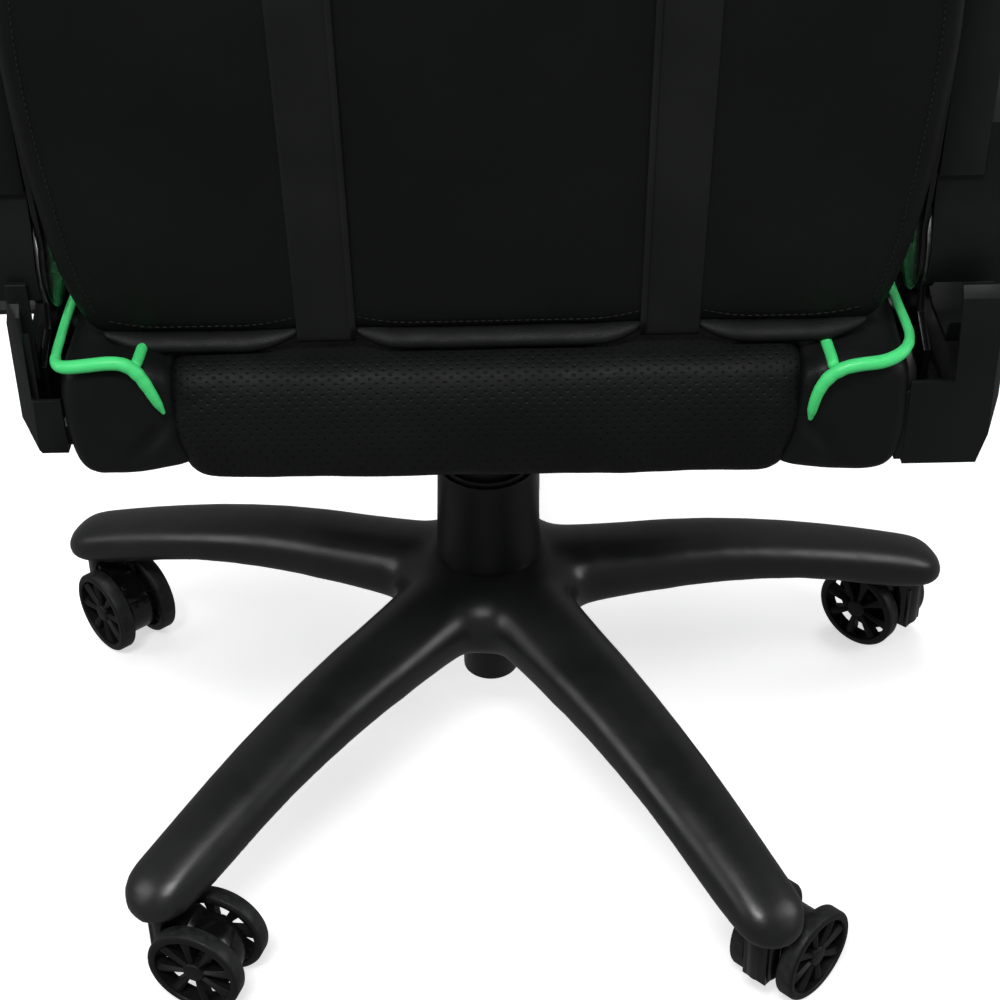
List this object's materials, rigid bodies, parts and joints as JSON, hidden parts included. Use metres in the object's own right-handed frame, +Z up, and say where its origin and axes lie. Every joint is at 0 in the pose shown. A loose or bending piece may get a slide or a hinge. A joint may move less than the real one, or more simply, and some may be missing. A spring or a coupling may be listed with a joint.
{
  "type": "gaming chair",
  "caption": "Racing-style swivel chair with reclining back, rocking height-adjustable seat and a star base on twin-wheel castors.",
  "frame": {"origin": "on the floor, on the axis of the gas lift", "axes": "+Z up; the chair faces -Y; +X is towards the sitter's left hand"},
  "size_m": [0.732, 0.7508, 1.2863],
  "materials": {
    "base_nylon": "satin",
    "lift_steel": "satin",
    "bushing_plastic": "matte",
    "bearing_steel": "satin",
    "column_plastic": "satin",
    "mechanism_paint": "satin",
    "hinge_gloss_paint": "gloss",
    "lever_plastic": "satin",
    "lever_steel": "satin",
    "board_wood": "matte",
    "seat_leather": "satin",
    "back_leather": "satin",
    "green_piping": "satin",
    "pillow_leather": "satin",
    "elastic_webbing": "matte",
    "cover_plastic": "matte",
    "armrest_pu": "matte",
    "castor_gloss_plastic": "gloss",
    "castor_wheel_nylon": "matte"
  },
  "bodies": {
    "base": {"star_base": "base_nylon", "lift_outer_tube": "lift_steel", "lift_guide_bushing": "bushing_plastic", "lift_thrust_bearing": "bearing_steel", "column_cover_lower": "column_plastic"},
    "lift_spindle": {"lift_rod": "lift_steel"},
    "cover_stage": {"column_cover_middle": "column_plastic"},
    "carriage": {"lift_cylinder": "lift_steel", "column_cover_upper": "column_plastic", "tilt_housing": "mechanism_paint", "tilt_spring": "bearing_steel"},
    "valve_pin": {"lift_valve_pin": "bearing_steel"},
    "height_lever": {"height_lever": "lever_steel"},
    "tension_knob": {"tension_knob": "lever_plastic"},
    "seat": {"seat_plate": "mechanism_paint", "seat_fasteners": "bearing_steel", "seat_board": "board_wood", "seat_cushion": "seat_leather", "seat_piping": "green_piping", "seat_hinge_plates": "hinge_gloss_paint", "armrest_brackets": "mechanism_paint", "seat_hinge_cover_left": "cover_plastic", "seat_hinge_cover_right": "cover_plastic", "recline_springs": "bearing_steel"},
    "recline_lever": {"recline_lever": "lever_plastic"},
    "back": {"back_frame": "mechanism_paint", "back_cushion": "back_leather", "back_hinge_plates": "hinge_gloss_paint", "recline_pins": "bearing_steel", "back_hinge_cover_left": "cover_plastic", "back_hinge_cover_right": "cover_plastic", "elastic_straps": "elastic_webbing", "lumbar_pillow": "pillow_leather", "headrest_pillow": "pillow_leather"},
    "armrest_left": {"armrest_post_left": "lever_plastic", "armrest_pad_left": "armrest_pu"},
    "armrest_button_left": {"armrest_button_left": "lever_plastic"},
    "armrest_right": {"armrest_post_right": "lever_plastic", "armrest_pad_right": "armrest_pu"},
    "armrest_button_right": {"armrest_button_right": "lever_plastic"},
    "castor_1": {"castor_1_hood": "castor_gloss_plastic", "castor_1_pins": "bearing_steel"},
    "castor_1_wheel_a": {"castor_1_wheel_a": "castor_wheel_nylon"},
    "castor_1_wheel_b": {"castor_1_wheel_b": "castor_wheel_nylon"},
    "castor_2": {"castor_2_hood": "castor_gloss_plastic", "castor_2_pins": "bearing_steel"},
    "castor_2_wheel_a": {"castor_2_wheel_a": "castor_wheel_nylon"},
    "castor_2_wheel_b": {"castor_2_wheel_b": "castor_wheel_nylon"},
    "castor_3": {"castor_3_hood": "castor_gloss_plastic", "castor_3_pins": "bearing_steel"},
    "castor_3_wheel_a": {"castor_3_wheel_a": "castor_wheel_nylon"},
    "castor_3_wheel_b": {"castor_3_wheel_b": "castor_wheel_nylon"},
    "castor_4": {"castor_4_hood": "castor_gloss_plastic", "castor_4_pins": "bearing_steel"},
    "castor_4_wheel_a": {"castor_4_wheel_a": "castor_wheel_nylon"},
    "castor_4_wheel_b": {"castor_4_wheel_b": "castor_wheel_nylon"},
    "castor_5": {"castor_5_hood": "castor_gloss_plastic", "castor_5_pins": "bearing_steel"},
    "castor_5_wheel_a": {"castor_5_wheel_a": "castor_wheel_nylon"},
    "castor_5_wheel_b": {"castor_5_wheel_b": "castor_wheel_nylon"}
  },
  "joints": [
    {"name": "castor_1_swivel", "type": "hinge", "parent": "base", "child": "castor_1", "pos_m": [0.21389, 0.24867, 0.07], "axis": [0, 0, 1], "continuous": true},
    {"name": "castor_1_wheel_a_spin", "type": "hinge", "parent": "castor_1", "child": "castor_1_wheel_a", "pos_m": [0.18758, 0.25825, 0.0325], "axis": [-0.342, -0.9397, 0], "continuous": true},
    {"name": "castor_1_wheel_b_spin", "type": "hinge", "parent": "castor_1", "child": "castor_1_wheel_b", "pos_m": [0.18758, 0.25825, 0.0325], "axis": [-0.342, -0.9397, 0], "continuous": true},
    {"name": "castor_2_swivel", "type": "hinge", "parent": "base", "child": "castor_2", "pos_m": [0.30259, -0.12658, 0.07], "axis": [0, 0, 1], "continuous": true},
    {"name": "castor_2_wheel_a_spin", "type": "hinge", "parent": "castor_2", "child": "castor_2_wheel_a", "pos_m": [0.28459, -0.10513, 0.0325], "axis": [-0.766, -0.6428, 0], "continuous": true},
    {"name": "castor_2_wheel_b_spin", "type": "hinge", "parent": "castor_2", "child": "castor_2_wheel_b", "pos_m": [0.28459, -0.10513, 0.0325], "axis": [-0.766, -0.6428, 0], "continuous": true},
    {"name": "castor_3_swivel", "type": "hinge", "parent": "base", "child": "castor_3", "pos_m": [-0.02688, -0.3269, 0.07], "axis": [0, 0, 1], "continuous": true},
    {"name": "castor_3_wheel_a_spin", "type": "hinge", "parent": "castor_3", "child": "castor_3_wheel_a", "pos_m": [-0.02201, -0.35447, 0.0325], "axis": [0.9848, 0.1736, 0], "continuous": true},
    {"name": "castor_3_wheel_b_spin", "type": "hinge", "parent": "castor_3", "child": "castor_3_wheel_b", "pos_m": [-0.02201, -0.35447, 0.0325], "axis": [0.9848, 0.1736, 0], "continuous": true},
    {"name": "castor_4_swivel", "type": "hinge", "parent": "base", "child": "castor_4", "pos_m": [-0.3192, -0.07546, 0.07], "axis": [0, 0, 1], "continuous": true},
    {"name": "castor_4_wheel_a_spin", "type": "hinge", "parent": "castor_4", "child": "castor_4_wheel_a", "pos_m": [-0.2984, -0.09419, 0.0325], "axis": [0.6691, 0.7431, 0], "continuous": true},
    {"name": "castor_4_wheel_b_spin", "type": "hinge", "parent": "castor_4", "child": "castor_4_wheel_b", "pos_m": [-0.2984, -0.09419, 0.0325], "axis": [0.6691, 0.7431, 0], "continuous": true},
    {"name": "castor_5_swivel", "type": "hinge", "parent": "base", "child": "castor_5", "pos_m": [-0.1704, 0.28026, 0.07], "axis": [0, 0, 1], "continuous": true},
    {"name": "castor_5_wheel_a_spin", "type": "hinge", "parent": "castor_5", "child": "castor_5_wheel_a", "pos_m": [-0.18985, 0.26012, 0.0325], "axis": [0.7193, -0.6947, 0], "continuous": true},
    {"name": "castor_5_wheel_b_spin", "type": "hinge", "parent": "castor_5", "child": "castor_5_wheel_b", "pos_m": [-0.18985, 0.26012, 0.0325], "axis": [0.7193, -0.6947, 0], "continuous": true},
    {"name": "seat_swivel", "type": "hinge", "parent": "base", "child": "lift_spindle", "pos_m": [0, 0, 0.066], "axis": [0, 0, 1], "continuous": true},
    {"name": "cover_stage_slide", "type": "slide", "parent": "base", "child": "cover_stage", "axis": [0, 0, 1], "range_m": [0, 0.04]},
    {"name": "lift_height", "type": "slide", "parent": "lift_spindle", "child": "carriage", "axis": [0, 0, 1], "range_m": [0, 0.08]},
    {"name": "height_lever_lift", "type": "hinge", "parent": "carriage", "child": "height_lever", "pos_m": [-0.028, 0, 0.3626], "axis": [0, 1, 0], "range_deg": [0, 8], "stiffness_Nm_per_rad": 4, "springref_deg": -8.59},
    {"name": "valve_pin_press", "type": "slide", "parent": "carriage", "child": "valve_pin", "axis": [0, 0, -1], "range_m": [0, 0.005]},
    {"name": "tension_knob_turn", "type": "hinge", "parent": "carriage", "child": "tension_knob", "pos_m": [0, -0.108, 0.273], "axis": [0, 0, 1], "range_deg": [-180, 180]},
    {"name": "seat_rock", "type": "hinge", "parent": "carriage", "child": "seat", "pos_m": [0, -0.07, 0.352], "axis": [-1, 0, 0], "range_deg": [0, 10], "stiffness_Nm_per_rad": 300, "springref_deg": -17.19},
    {"name": "back_recline", "type": "hinge", "parent": "seat", "child": "back", "pos_m": [0, 0.16, 0.497], "axis": [-1, 0, 0], "range_deg": [-11, 50]},
    {"name": "recline_lever_pull", "type": "hinge", "parent": "seat", "child": "recline_lever", "pos_m": [-0.293, 0.06, 0.42], "axis": [-1, 0, 0], "range_deg": [0, 35], "stiffness_Nm_per_rad": 1, "springref_deg": -22.92},
    {"name": "armrest_left_height", "type": "slide", "parent": "seat", "child": "armrest_left", "axis": [0, 0, 1], "range_m": [0, 0.07]},
    {"name": "armrest_left_button_press", "type": "slide", "parent": "armrest_left", "child": "armrest_button_left", "axis": [-1, 0, 0], "range_m": [0, 0.003], "stiffness_N_per_m": 300, "springref_m": -0.004},
    {"name": "armrest_right_height", "type": "slide", "parent": "seat", "child": "armrest_right", "axis": [0, 0, 1], "range_m": [0, 0.07]},
    {"name": "armrest_right_button_press", "type": "slide", "parent": "armrest_right", "child": "armrest_button_right", "axis": [1, 0, 0], "range_m": [0, 0.003], "stiffness_N_per_m": 300, "springref_m": -0.004}
  ],
  "couplings": [
    {"joint": "cover_stage_slide", "follows": "lift_height", "ratio": 0.5},
    {"joint": "valve_pin_press", "follows": "height_lever_lift", "m_per_rad": 0.0335}
  ]
}
